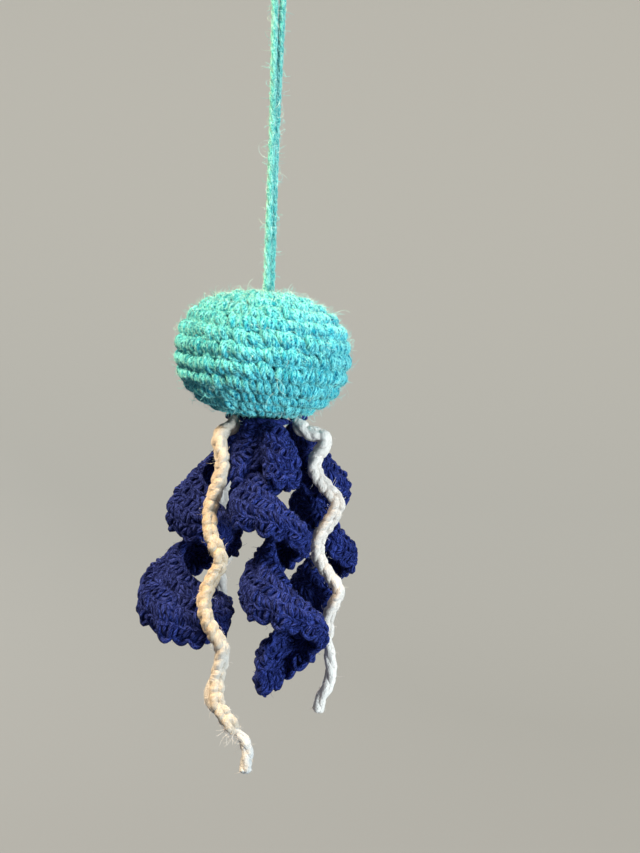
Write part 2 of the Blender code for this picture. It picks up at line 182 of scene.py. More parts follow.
# Each yarn: its base colour, a darker colour painted as shade in the grooves between its plies, and a lighter
# colour for its hairs and paler stretches, partly a painted highlight
yarns = {
    "turquoise": {"base": (0.008, 0.42, 0.53), "grooveShade": (0.001, 0.11, 0.19), "light": (0.34, 0.93, 0.87)},
    # the cord: the turquoise yarn made lighter, painted light for the upright cord that the lamps light less
    "cordLitTurquoise": {"base": (0.12, 0.62, 0.56), "grooveShade": (0.01, 0.28, 0.29), "light": (0.60, 0.93, 0.82)},
    "navy": {"base": (0.0005, 0.0030, 0.060), "grooveShade": (0.0003, 0.0015, 0.020), "light": (0.046, 0.068, 0.32)},
    "cream": {"base": (0.86, 0.73, 0.65), "grooveShade": (0.72, 0.60, 0.52), "light": (0.98, 0.86, 0.78)},
    "warmCream": {"base": (0.76, 0.54, 0.34), "grooveShade": (0.62, 0.43, 0.27), "light": (0.68, 0.63, 0.60)},
    # stray fibres: much paler than the turquoise yarn they come from, a painted highlight for the light they
    # catch
    "wisp": {"base": (0.60, 0.88, 0.80), "grooveShade": (0.42, 0.74, 0.66), "light": (0.90, 0.98, 0.95)},
    "filling": {"base": (0.86, 0.86, 0.84), "grooveShade": (0.62, 0.63, 0.63), "light": (0.97, 0.97, 0.96)},
}
yarnTwist = {"plies": 3, "plyPitch": 2.6, "streaksRound": 9.0, "streakLength": 1.3,
             "hairsRound": 7.0, "hairLength": 1.5, "hairWidth": 0.075,
             "mottle": 160.0, "bumpStrength": 0.7, "bumpDepth": 0.0005}


def addNode(tree, kind, **values):
    node = tree.nodes.new(kind)
    for key, value in values.items():
        setattr(node, key, value)
    return node


def mathNode(tree, operation, first, second=None):
    node = addNode(tree, "ShaderNodeMath", operation=operation)
    for socket, value in zip(node.inputs, (first, second)):
        if value is None:
            continue
        if isinstance(value, (int, float)):
            socket.default_value = value
        else:
            tree.links.new(value, socket)
    return node.outputs[0]


def mixColour(tree, factor, first, second):
    node = addNode(tree, "ShaderNodeMix", data_type="RGBA")
    for socket, value in ((node.inputs[0], factor), (node.inputs[6], first), (node.inputs[7], second)):
        tree.links.new(value, socket)
    return node.outputs[2]


def ramp(tree, value, low, high):
    node = addNode(tree, "ShaderNodeMapRange", interpolation_type="SMOOTHSTEP")
    tree.links.new(value, node.inputs["Value"])
    node.inputs["From Min"].default_value = low
    node.inputs["From Max"].default_value = high
    return node.outputs["Result"]


def noise(tree, vector, scale, detail, roughness=0.6):
    node = addNode(tree, "ShaderNodeTexNoise")
    tree.links.new(vector, node.inputs["Vector"])
    node.inputs["Scale"].default_value = scale
    node.inputs["Detail"].default_value = detail
    node.inputs["Roughness"].default_value = roughness
    return node.outputs["Fac"]


def makeYarnGroup():
    # Twisted woolly yarn: plies wind round the strand as |sin(pi (plies v + u / pitch))|,
    # fine fibres run nearly with them, and the dye is uneven from place to place. The colour is
    # painted darker in the grooves between plies, a painted shade, and lighter along the hairs,
    # partly paler fibres and partly a painted highlight.
    group = bpy.data.node_groups.new("woollyYarn", "ShaderNodeTree")
    for names, way, kind in ((("Base", "Groove Shade", "Light"), "INPUT", "Color"),
                             (("Fibre Highlight", "Mottle"), "INPUT", "Float"),
                             (("Color",), "OUTPUT", "Color"), (("Roughness", "Height"), "OUTPUT", "Float")):
        for name in names:
            group.interface.new_socket(name, in_out=way, socket_type="NodeSocket" + kind)
    link = group.links.new
    plus, minus, times, over = (partial(mathNode, group, operation)
                                for operation in ("ADD", "SUBTRACT", "MULTIPLY", "DIVIDE"))

    def spot(x, y, z):
        node = addNode(group, "ShaderNodeCombineXYZ")
        for value, socket in zip((x, y, z), node.inputs):
            link(value, socket)
        return node.outputs[0]

    given = addNode(group, "NodeGroupInput").outputs
    split = addNode(group, "ShaderNodeSeparateXYZ")
    link(addNode(group, "ShaderNodeUVMap", uv_map="yarnMap").outputs[0], split.inputs[0])
    u, v = split.outputs[0], split.outputs[1]
    tone = addNode(group, "ShaderNodeAttribute", attribute_name="yarnTone").outputs["Fac"]
    wind = plus(times(v, float(yarnTwist["plies"])), over(u, yarnTwist["plyPitch"]))
    ply = mathNode(group, "ABSOLUTE", mathNode(group, "SINE", times(wind, math.pi)))
    across = plus(times(v, yarnTwist["streaksRound"]),
                  times(u, yarnTwist["streaksRound"] / 3 / yarnTwist["plyPitch"]))
    lay = spot(over(u, yarnTwist["streakLength"] * 2), across, times(tone, 37.0))
    streak = noise(group, lay, 1.0, 4.0, 0.65)
    place = addNode(group, "ShaderNodeTexCoord").outputs["Object"]
    dye = noise(group, place, yarnTwist["mottle"], 2.0)
    # single hairs are the thin bent lines along which a stretched noise is one half
    hairs = None
    for slant, layer in ((0.55, 3.0), (-0.20, 11.0), (1.10, 19.0)):
        hairLay = spot(over(u, yarnTwist["hairLength"]),
                       plus(times(v, yarnTwist["hairsRound"]), times(u, slant)),
                       plus(times(tone, 23.0), layer))
        field = noise(group, hairLay, 1.0, 1.0, 0.5)
        offLine = mathNode(group, "ABSOLUTE", minus(field, 0.5))
        line = minus(1.0, ramp(group, offLine, 0.0, yarnTwist["hairWidth"]))
        hairs = line if hairs is None else mathNode(group, "MAXIMUM", hairs, line)
    height = plus(times(ply, 0.22), plus(times(streak, 0.7), times(hairs, 0.45)))
    # painted shade: where the height is low, in the grooves between plies, the colour runs to the darker
    # shade colour
    shade = ramp(group, height, 0.30, 0.95)
    # paler where the yarnPale share is set along the cords; at the top of the right cord, in the bell's
    # shade, this is painted light
    paleShare = addNode(group, "ShaderNodeAttribute", attribute_name="yarnPale").outputs["Fac"]
    body = mixColour(group, shade, given["Groove Shade"], given["Base"])
    body = mixColour(group, paleShare, body, given["Light"])
    # painted highlight, partly paler fibres: along the hair lines, where the streaks run light, the colour
    # runs to the lighter colour
    hairHighlight = times(times(hairs, ramp(group, streak, 0.38, 0.6)), given["Fibre Highlight"])
    shadedAndHighlit = mixColour(group, hairHighlight, body, given["Light"])
    uneven = plus(times(minus(dye, 0.5), 1.6), times(minus(tone, 0.5), 0.5))
    bright = addNode(group, "ShaderNodeHueSaturation")
    link(plus(times(uneven, given["Mottle"]), 1.0), bright.inputs["Value"])
    link(shadedAndHighlit, bright.inputs["Color"])
    out = addNode(group, "NodeGroupOutput")
    link(bright.outputs[0], out.inputs["Color"])
    link(minus(0.98, times(shade, 0.16)), out.inputs["Roughness"])
    link(height, out.inputs["Height"])
    return group


def makeYarn(name, colours, group, fibreHighlight, mottle, sheen, sheenTint, bump=1.0, gloss=0.25):
    made = bpy.data.materials.new(name)
    made.use_nodes = True
    tree = made.node_tree
    shader = tree.nodes["Principled BSDF"]
    wool = addNode(tree, "ShaderNodeGroup", node_tree=group)
    for socket, key in (("Base", "base"), ("Groove Shade", "grooveShade"), ("Light", "light")):
        wool.inputs[socket].default_value = (*colours[key], 1.0)
    wool.inputs["Fibre Highlight"].default_value = fibreHighlight
    wool.inputs["Mottle"].default_value = mottle
    relief = addNode(tree, "ShaderNodeBump")
    relief.inputs["Strength"].default_value = yarnTwist["bumpStrength"] * bump
    relief.inputs["Distance"].default_value = yarnTwist["bumpDepth"]
    tree.links.new(wool.outputs["Height"], relief.inputs["Height"])
    tree.links.new(wool.outputs["Color"], shader.inputs["Base Color"])
    tree.links.new(wool.outputs["Roughness"], shader.inputs["Roughness"])
    tree.links.new(relief.outputs["Normal"], shader.inputs["Normal"])
    shader.inputs["Specular IOR Level"].default_value = gloss
    shader.inputs["Sheen Weight"].default_value = sheen
    shader.inputs["Sheen Roughness"].default_value = 0.45
    shader.inputs["Sheen Tint"].default_value = (*sheenTint, 1.0)
    return made


woolly = makeYarnGroup()
turquoiseYarn = makeYarn("turquoiseYarn", yarns["turquoise"], woolly, 0.8, 0.30, 0.5, (0.5, 1.0, 0.8))
# the cord's yarn: a lightened copy of the turquoise, painted light
cordLitYarn = makeYarn("cordLitYarn", yarns["cordLitTurquoise"], woolly, 0.6, 0.25, 0.5, (0.9, 1.0, 0.9))
navyYarn = makeYarn("navyYarn", yarns["navy"], woolly, 1.0, 0.35, 0.05, (0.3, 0.4, 1.0), gloss=0.12)
creamYarn = makeYarn("creamYarn", yarns["cream"], woolly, 0.5, 0.16, 0.3, (1.0, 0.98, 0.95))
warmCreamYarn = makeYarn("warmCreamYarn", yarns["warmCream"], woolly, 0.5, 0.16, 0.3, (1.0, 0.95, 0.85))


def lightened(colours, share):
    # loose fibres of a yarn catch more light than the strand they stand on
    return {key: tuple(a + share * (b - a) for a, b in zip(colours[key], colours["light"]))
            for key in colours}


turquoiseFibre = makeYarn("turquoiseFibre", lightened(yarns["turquoise"], 0.8), woolly, 0.4, 0.4,
                          0.4, (0.7, 1.0, 0.85), 0.0)
wispFibre = makeYarn("wispFibre", yarns["wisp"], woolly, 0.4, 0.2, 0.4, (1.0, 1.0, 0.95), 0.0)
navyFibre = makeYarn("navyFibre", lightened(yarns["navy"], 0.5), woolly, 0.5, 0.7, 0.1, (0.5, 0.55, 1.0),
                     0.0, 0.12)
creamFibre = makeYarn("creamFibre", lightened(yarns["cream"], 0.5), woolly, 0.5, 0.2, 0.4,
                      (1.0, 0.97, 0.92), 0.0)
fillingFluff = makeYarn("fillingFluff", yarns["filling"], woolly, 0.4, 0.2, 0.5, (1.0, 1.0, 1.0))
print("yarn finishes made")


# Camera

camera = {"distance": 520.0, "mmPerPixel": 0.34, "pitch": 3.0, "roll": 2.1,
          "aim": (19.0, 0.0, -179.4), "sensor": 36.0, "frameHigh": 853}


def makeCamera():
    # The eye stands straight in front, a little above, at the photograph's scale.
    pitch, roll = math.radians(camera["pitch"]), math.radians(camera["roll"])
    ahead = Vector((0.0, math.cos(pitch), -math.sin(pitch)))
    level = Vector((0.0, math.sin(pitch), math.cos(pitch)))
    right = Vector((1.0, 0.0, 0.0)) * math.cos(roll) + level * math.sin(roll)
    up = level * math.cos(roll) - Vector((1.0, 0.0, 0.0)) * math.sin(roll)
    data = bpy.data.cameras.new("photoCamera")
    data.sensor_width = camera["sensor"]
    data.lens = camera["sensor"] * camera["distance"] / camera["mmPerPixel"] / camera["frameHigh"]
    data.clip_start, data.clip_end = 0.02, 20.0
    eye = bpy.data.objects.new("photoCamera", data)
    turn = Matrix((right, up, -ahead)).transposed().to_4x4()
    eye.matrix_world = Matrix.Translation((Vector(camera["aim"]) - ahead * camera["distance"]) * mm) @ turn
    bpy.context.scene.collection.objects.link(eye)
    bpy.context.scene.camera = eye


makeCamera()
print("camera set")


# Hanging loop

hangingLoop = {"drop": 134.0, "yarn": 2.5, "spacing": 2.9, "wallInside": 3.2, "bendSteps": 7,
               "eyeSpread": 3.6, "plies": 3, "plyRadius": 0.80, "plyOffset": 0.47, "plyPitch": 12.0,
               "step": 0.55, "sides": 7, "seed": 11}
# One strand from the knot up to the top bend: X and Y in half spacings, Z as a
# share of the way. The other strand is its half turn about the middle.
strandRoute = [
    (-0.55, -0.83, 0.00), (-0.53, -0.85, 0.08), (-0.50, -0.87, 0.18),
    (-0.46, -0.89, 0.28), (-0.44, -0.90, 0.38), (-0.50, -0.87, 0.48),
    (-0.62, -0.79, 0.58), (-0.79, -0.62, 0.68), (-0.94, -0.38, 0.77),
    (-1.06, -0.12, 0.86), (-1.90, 0.00, 0.93), (-3.60, 0.00, 1.00),
]


def loopRoute():
    half = hangingLoop["spacing"] / 2
    eyeRadius = hangingLoop["eyeSpread"] * half
    bottom = -hangingLoop["drop"] - hangingLoop["wallInside"]
    top = hangingLoop["yarn"] / 2 - eyeRadius
    rows = np.array(strandRoute)
    up = np.stack([rows[:, 0] * half, rows[:, 1] * half, bottom + (top - bottom) * rows[:, 2]], axis=1)
    a = np.linspace(0.0, math.pi, hangingLoop["bendSteps"])[1:-1]
    bend = np.stack([-eyeRadius * np.cos(a), 0 * a, top + eyeRadius * np.sin(a)], axis=1)
    down = up[::-1] * np.array([-1.0, -1.0, 1.0])
    return np.vstack([up, bend, down])


def plied(path, refs, ply, rng):
    # Plies wound round a line: ply k stands off the line by its offset at the
    # angle 2 pi (s / pitch + k / plies), where s is the length along the line.
    tangent = unit(np.gradient(path, axis=0))
    side = unit(np.cross(tangent, refs))
    other = np.cross(side, tangent)
    s = runningLength(path)
    k = np.arange(ply["plies"])[:, None]
    angle = 2 * math.pi * (s / ply["plyPitch"] + k / ply["plies"])
    spoke = np.cos(angle)[..., None] * side + np.sin(angle)[..., None] * other
    wobble = 1.0 + 0.10 * np.sin(s * 1.7 + 2.1 * k) + 0.07 * np.sin(s * 0.61 + k)
    points = path + spoke * (ply["plyOffset"] * wobble)[..., None]
    radii = ply["plyRadius"] * (2.0 - wobble)
    return sweep(points, spoke, radii, ply["sides"], rng.random(ply["plies"]))


fibre = {"sides": 3, "taper": 0.65, "width": (0.7, 1.3), "rootShift": 0.8, "rootSink": 0.15}


def fibres(roots, outward, along, form, rng):
    # Loose fibres: each leaves its root at a slant and curls as an arc,
    # root + d s + bend s^2 / 2, with a thin three-sided section drawn to a point.
    n = len(roots)
    swing = rng.uniform(-math.pi, math.pi, n)[:, None]
    across = unit(np.cross(outward, along))
    flat = unit(along * np.cos(swing) + across * np.sin(swing))
    lift = rng.uniform(*form["lift"], n)[:, None]
    start = unit(outward * np.sin(lift) + flat * np.cos(lift))
    bendWay = unit(np.cross(start, unit(rng.normal(size=(n, 3)))))
    length = rng.uniform(0.0, 1.0, n)[:, None] ** form["rarity"]
    length = form["length"][0] + (form["length"][1] - form["length"][0]) * length
    curl = rng.uniform(*form["curl"], n)[:, None] / length
    t = np.linspace(0.0, 1.0, form["rings"])
    s = t[None, :, None] * length[:, None]
    turn = curl[:, None] * s
    points = (roots[:, None] + start[:, None] * np.sin(turn) / curl[:, None]
              + bendWay[:, None] * (1.0 - np.cos(turn)) / curl[:, None])
    radii = (form["thickness"] / 2 * (1.0 - fibre["taper"] * t)[None, :]
             * rng.uniform(*fibre["width"], n)[:, None])
    refs = np.broadcast_to(np.cross(start, bendWay)[:, None], points.shape)
    return sweep(points, refs, radii, fibre["sides"], rng.random(n))


def fuzz(name, shapes, count, form, finish, rng, facing=None):
    # fibres rooted on the outer skins of swept shapes, by drawing skin points at random
    skins = [s["skin"] for s in shapes]
    roots = np.concatenate([rings.reshape(-1, 3) for rings, _, _ in skins])
    outward = np.concatenate([spoke.reshape(-1, 3) for _, spoke, _ in skins])
    along = np.concatenate([np.broadcast_to(tangent[:, :, None], spoke.shape).reshape(-1, 3)
                            for _, spoke, tangent in skins])
    weight = np.ones(len(roots)) if facing is None else facing(roots, outward)
    picks = rng.choice(len(roots), count, p=weight / weight.sum())
    shift = along[picks] * rng.uniform(-fibre["rootShift"], fibre["rootShift"], (count, 1))
    sunk = roots[picks] + shift - fibre["rootSink"] * outward[picks]
    made = fibres(sunk, outward[picks], along[picks], form, rng)
    return makePiece(name, made, finish)


def makeLoop():
    rng = np.random.default_rng(hangingLoop["seed"])
    path = evenPath(loopRoute(), hangingLoop["step"])
    refs = np.broadcast_to(np.array([0.0, 1.0, 0.0]), path.shape)
    shape = plied(path, refs, hangingLoop, rng)
    loop = makePiece("hanging_loop_yarn", shape, cordLitYarn)
    hair = fuzz("hanging_loop_fuzz", [shape], loopFuzz["count"], loopFuzz, turquoiseFibre,
                rng, lambda roots, outward: (roots[:, 2] > loopFuzz["above"]) + 0.0)
    stray = fuzz("hanging_loop_wisps", [shape], loopWisps["count"], loopWisps, wispFibre,
                 rng, lambda roots, outward: (roots[:, 2] > loopWisps["above"]) + 0.0)
    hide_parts("hanging_loop")


loopWisps = {"count": 340, "length": (1.5, 6.5), "rarity": 1.4, "lift": (0.3, 1.4), "curl": (1.2, 4.6),
             "rings": 8, "thickness": 0.14, "above": -134.0}
loopFuzz = {"count": 1500, "length": (0.8, 4.5), "rarity": 2.4, "lift": (0.1, 1.3), "curl": (0.8, 4.2),
            "rings": 4, "thickness": 0.14, "above": -136.0}
makeLoop()


# Bell

bell = {"width": 60.0, "height": 43.4, "squareness": 2.35, "tilt": 3.4, "nod": 1.5,
        "rounds": 14, "holeRadius": 3.2, "stitchWidth": 5.2, "startAngle": 110.0,
        "legRadius": 1.42, "legApex": 0.17, "legSpread": 0.10, "legLength": 0.98, "legSlant": 0.75,
        "legSink": 1.9, "legCrest": 2.0, "rings": 9, "sides": 7,
        "barRadius": 1.0, "barDepth": 2.3, "barStep": 1.3, "jitter": 0.23,
        "skinDepth": 3.0, "baseSkin": 2.7, "skinRings": 34, "skinSides": 48,
        "meridianSteps": 2000, "walkSteps": 40000, "seed": 5}


def bellMeridian():
    # radius and height of a superellipse from crown to base, its arc length and normal
    a = np.linspace(math.pi / 2, -math.pi / 2, bell["meridianSteps"] + 1)
    power = 2.0 / bell["squareness"]
    radius = bell["width"] / 2 * np.abs(np.cos(a)) ** power
    height = bell["height"] / 2 * np.sign(np.sin(a)) * np.abs(np.sin(a)) ** power
    arc = np.concatenate([[0.0], np.cumsum(np.hypot(np.diff(radius), np.diff(height)))])
    slope = unit(np.stack([np.gradient(radius, arc), np.gradient(height, arc)], axis=1))
    return radius, height, arc, -slope[:, 1], slope[:, 0]


meridian = bellMeridian()


def bellTurn():
    tilt, nod = math.radians(bell["tilt"]), math.radians(bell["nod"])
    lean = np.array([[math.cos(tilt), 0, math.sin(tilt)], [0, 1, 0], [-math.sin(tilt), 0, math.cos(tilt)]])
    bow = np.array([[1, 0, 0], [0, math.cos(nod), -math.sin(nod)], [0, math.sin(nod), math.cos(nod)]])
    return lean @ bow


bellAxes = bellTurn()
bellMiddle = np.array([0, 0, -hangingLoop["drop"]]) + bellAxes @ np.array([0, 0, -bell["height"] / 2])


def inBell(points):
    return points @ bellAxes.T + bellMiddle


def onAxis(height):
    return inBell(np.array([[0.0, 0.0, height]]))


def bellSurface(theta, along, out):
    # point at an angle round the bell, an arc length from the crown and a height over the surface
    radius, height, arc, normalR, normalZ = meridian
    nR, nZ = np.interp(along, arc, normalR), np.interp(along, arc, normalZ)
    r = np.interp(along, arc, radius) + out * nR
    z = np.interp(along, arc, height) + out * nZ
    return inBell(turned(r, theta, z))


def layStrand(surface, u, v, out, low, high, radii, sides, tone):
    # a strand that follows a surface, its seam away from the way that leads from low to high over it
    points = surface(u, v, out)[None]
    refs = unit(surface(u, v, high) - surface(u, v, low))[None]
    return sweep(points, refs, np.broadcast_to(radii, points.shape[:2]), sides, tone)


def layLegs(surface, centreU, centreV, perU, perV, width, height, face, form, rng, lean=1.0):
    # Single crochet seen from the right side: two legs part from an apex and
    # swell outwards half way, so that a leg at a share t lies at
    # across = +-(apex + spread t) width, along = (t - 1/2) length height,
    # out = face (crest sin(pi t) - sink).
    n = len(centreU)
    t = np.linspace(0.0, 1.0, form["rings"])
    leg = np.array([-1.0, 1.0])[None, :, None]
    jitter = form["jitter"]
    size = 1.0 + jitter * rng.uniform(-1, 1, (n, 2, 1)) * 0.8
    turn = jitter * rng.uniform(-1, 1, (n, 1, 1))
    w = np.broadcast_to(np.asarray(width, float), (n,))[:, None, None]
    h = np.broadcast_to(np.asarray(height, float), (n,))[:, None, None]
    across = leg * (form["legApex"] + form["legSpread"] * np.sin(0.5 * math.pi * t) ** 1.2) * w
    slant = form["legSlant"] * lean * (1.0 + 2.0 * jitter * rng.uniform(-1, 1, (n, 1, 1)))
    across = across + slant * w * (t - 0.5)
    along = (t - 0.5) * form["legLength"] * h * size
    across, along = across + turn * along, along - turn * across
    across = across + jitter * w * 0.4 * rng.uniform(-1, 1, (n, 1, 1))
    along = along + jitter * h * 0.4 * rng.uniform(-1, 1, (n, 1, 1))
    lift = jitter * 1.2 * rng.uniform(-1, 1, (n, 2, 1)) + np.where(leg < 0, 0.12, -0.12)
    out = face * (form["legCrest"] * np.sin(math.pi * t) ** 0.8 - form["legSink"] + lift * np.sin(math.pi * t)
                  - form["legRadius"])
    u = centreU[:, None, None] + across / perU[:, None, None]
    v = centreV[:, None, None] + along / perV[:, None, None]
    u, v, out = (x.reshape(2 * n, -1) for x in np.broadcast_arrays(u, v, out))
    points = surface(u, v, out)
    refs = unit(surface(u, v, out + 0.3 * face) - surface(u, v, out - 0.3 * face))
    plump = 1.0 + jitter * rng.uniform(-1, 1, (2 * n, 1)) * 0.6
    radii = form["legRadius"] * plump * (0.72 + 0.28 * np.sin(math.pi * t) ** 0.6)
    slim = np.minimum(1.0, np.repeat(w[:, 0, 0], 2)[:, None] / (3.2 * form["legRadius"]))
    return sweep(points, refs, np.broadcast_to(radii * slim, points.shape[:2]), form["sides"],
                 rng.random(2 * n))


def makeBell():
    rng = np.random.default_rng(bell["seed"])
    radius, _, arc, _, _ = meridian
    upper = slice(bell["meridianSteps"] // 2)
    crown = np.interp(bell["holeRadius"], radius[upper], arc[upper])
    rise = (arc[-1] - crown) / bell["rounds"]
    turns = np.linspace(0.0, bell["rounds"], bell["walkSteps"])
    theta = math.radians(bell["startAngle"]) + 2 * math.pi * turns
    along = crown + rise * turns
    walked = runningLength(bellSurface(theta, along, 0.0))
    count = round(walked[-1] / bell["stitchWidth"])
    at = (np.arange(count) + 0.5) * walked[-1] / count
    centreU, centreV = np.interp(at, walked, theta), np.interp(at, walked, along) + rise * 0.15
    perU = np.maximum(np.interp(centreV, arc, radius), 1.5)
    width = np.minimum(bell["stitchWidth"], 2 * math.pi * perU / 5)
    legs = layLegs(bellSurface, centreU, centreV, perU, np.ones(count), width, rise, 1.0, bell, rng)
    # the top loops of each round: one strand wound down between the legs
    steps = np.arange(0.0, walked[-1], bell["barStep"])
    barU = np.interp(steps, walked, theta)
    wave = 2 * math.pi * steps / bell["stitchWidth"]
    barV = np.clip(np.interp(steps, walked, along) + rise * 0.62 + 0.45 * np.sin(wave), 0.0, arc[-1])
    barOut = -bell["barDepth"] + 0.35 * np.cos(wave)
    loops = layStrand(bellSurface, barU, barV, barOut, barOut - 0.5, barOut + 0.5, bell["barRadius"],
                      bell["sides"] - 1, np.array([0.5]))
    # a closed skin under the stitches, so that nothing shows through
    skinV = np.linspace(crown * 0.8, arc[-1] - 0.5, bell["skinRings"])
    skinU = np.arange(bell["skinSides"]) * 2 * math.pi / bell["skinSides"]
    rings = bellSurface(skinU[None, :], skinV[:, None], -bell["skinDepth"])[None]
    skin = ringsToShape(rings, onAxis(bell["height"] / 2 - bell["skinDepth"]),
                        onAxis(bell["baseSkin"] - bell["height"] / 2), skinV[None], np.array([0.2]))
    cover = makePiece("bell_stitches", joined([legs, loops, skin]), turquoiseYarn)
    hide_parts("bell_cover")

    def outerSide(roots, outward):
        away = unit(roots - bellMiddle)
        return np.clip(np.einsum("ij,ij->i", away, outward) - 0.05, 0.0, 1.0)

    # more fibres towards the bell's top: the pale ones there are a painted sheen
    def upperSide(roots, outward):
        return outerSide(roots, outward) * np.clip(unit(roots - bellMiddle)[:, 2] + 0.1, 0.0, 1.0) ** 1.5

    def crownSide(roots, outward):
        fromCord = np.hypot(roots[:, 0], roots[:, 1])
        return outerSide(roots, outward) * (0.12 + np.exp(-(fromCord / bellWisps["spread"]) ** 2))

    for name, form, finish, facing in (("bell_fuzz", bellFuzz, turquoiseFibre, outerSide),
                                       ("bell_top_sheen", bellTopSheen, wispFibre, upperSide),
                                       ("bell_wisps", bellWisps, wispFibre, crownSide)):
        fuzz(name, [legs], form["count"], form, finish, rng, facing)


bellWisps = {"count": 420, "length": (2.0, 8.0), "rarity": 1.3, "lift": (0.3, 1.4), "curl": (1.2, 4.6),
             "rings": 9, "thickness": 0.15, "spread": 13.0}
# pale short fibres thick on the bell's upper side: a painted sheen on its top
bellTopSheen = {"count": 4200, "length": (0.5, 2.0), "rarity": 1.2, "lift": (-0.2, 0.9), "curl": (1.0, 3.6),
             "rings": 3, "thickness": 0.15}
bellFuzz = {"count": 6800, "length": (0.8, 4.5), "rarity": 3.2, "lift": (0.0, 1.1), "curl": (0.8, 3.2),
            "rings": 3, "thickness": 0.14}
makeBell()


# Filling and knot inside the bell

inside = {"wall": 3.2, "ease": 0.5, "gap": 0.3, "knotWidth": 9.0, "knotHeight": 6.0, "pocketFlare": 0.6,
          "pocketLip": 1.6, "pocketFoot": 1.0, "pocketFloor": 0.7, "lump": 1.1, "lumpSize": 7.0,
          "rings": 34, "sides": 44,
          "knotYarn": 1.15, "knotSteps": 120, "knotOpen": 4, "knotSides": 10}


def makeFilling():
    # A superellipse set in from the cover, whose radius dips by lump times a sum
    # of sines over the place, with a round pocket at the crown for the knot.
    inset = inside["wall"] + inside["ease"]
    pocket = inside["knotWidth"] / 2 + inside["gap"]
    power = 2.0 / bell["squareness"]
    rim = math.acos(((pocket + inside["pocketFlare"]) / (bell["width"] / 2 - inset)) ** (1.0 / power))
    a = np.linspace(rim, -math.pi / 2 + 0.03, inside["rings"])
    radius = (bell["width"] / 2 - inset) * np.cos(a) ** power
    height = (bell["height"] / 2 - inset) * np.sign(np.sin(a)) * np.abs(np.sin(a)) ** power
    theta = np.arange(inside["sides"]) * 2 * math.pi / inside["sides"]
    body = turned(radius[:, None], theta, height[:, None])
    x, y, z = np.moveaxis(body * 2 * math.pi / inside["lumpSize"], -1, 0)
    lumps = (np.sin(x + 1.3 * np.sin(y)) + np.sin(y + 1.7 * np.sin(z))
             + np.sin(z + 1.1 * np.sin(x))) / 6.0 + 0.5
    body = body * (1.0 - inside["lump"] * lumps / (bell["height"] / 2))[..., None]
    top = bell["height"] / 2 - inset
    floor = top - inside["knotHeight"] - inside["gap"]
    well = np.array([(inside["pocketFloor"] * pocket, floor), (pocket, floor + inside["pocketFoot"]),
                     (pocket, top - inside["pocketLip"])])
    hole = turned(well[:, :1], theta, well[:, 1:])
    rings = inBell(np.concatenate([hole, body]))[None]
    along = np.linspace(0.0, 60.0, rings.shape[1])[None]
    shape = ringsToShape(rings, onAxis(floor), onAxis(body[-1, :, 2].mean() - 0.1), along, np.array([0.6]))
    filling = makePiece("bell_fibrefill", shape, fillingFluff)
    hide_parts("bell_stuffing")


def makeKnot():
    # an overhand knot: x = sin t + 2 sin 2t, y = cos t - 2 cos 2t, z = -sin 3t, fitted to its pocket
    t = np.linspace(0.0, 2 * math.pi, inside["knotSteps"])[:-inside["knotOpen"]]
    half = inside["knotWidth"] / 2 - inside["knotYarn"]
    rise = inside["knotHeight"] / 2 - inside["knotYarn"]
    middle = bell["height"] / 2 - inside["wall"] - inside["gap"] - inside["knotHeight"] / 2
    path = np.stack([(np.sin(t) + 2 * np.sin(2 * t)) * half / 3, (np.cos(t) - 2 * np.cos(2 * t)) * half / 3,
                     middle - rise * np.sin(3 * t)], axis=1)
    refs = np.broadcast_to([0.0, 0.0, 1.0], path.shape)
    shape = sweep(inBell(path)[None], refs[None], np.full((1, len(t)), inside["knotYarn"]),
                  inside["knotSides"], np.array([0.4]))
    knot = makePiece("loop_knot_yarn", shape, turquoiseYarn)
    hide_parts("loop_knot")


makeFilling()
makeKnot()


# Curls

strip = {"innerReach": 2.2, "lean": 44.0, "tuck": 118.0, "bendFrom": 0.45,
         "rows": 5, "stitchWidth": 3.7, "endFrom": 0.55, "endGrowth": 4.8, "endTrim": 0.01,
         "collarTurns": 0.85, "collarFade": 3, "collarFrom": 5.0,
         "legRadius": 0.82, "legApex": 0.17, "legSpread": 0.10, "legLength": 1.02, "legSlant": 0.7,
         "legSink": -0.45, "legCrest": 1.3, "rings": 7, "sides": 6, "jitter": 0.38,
         "barRadius": 0.62, "barOut": 0.6, "barStep": 1.2, "scallopWidth": 5.4, "scallop": 1.9, "ruffle": 1.1,
         "rimRadius": 1.0, "rimBulge": 0.5, "rimSplit": 0.75, "rimStep": 0.7,
         "coreHalf": 0.45, "corePerTurn": 60, "coreRows": 13, "innerRadius": 1.25, "innerPerTurn": 20,
         "sewnRadius": 1.15, "sewnStart": 1.2, "sewnPitch": 1.9, "sewnDrop": -0.7, "sewnPerTurn": 22,
         "walkSteps": 3000, "phaseSteps": 1500, "profileSteps": 120, "nearTurn": 0.002, "nearDown": 0.004}
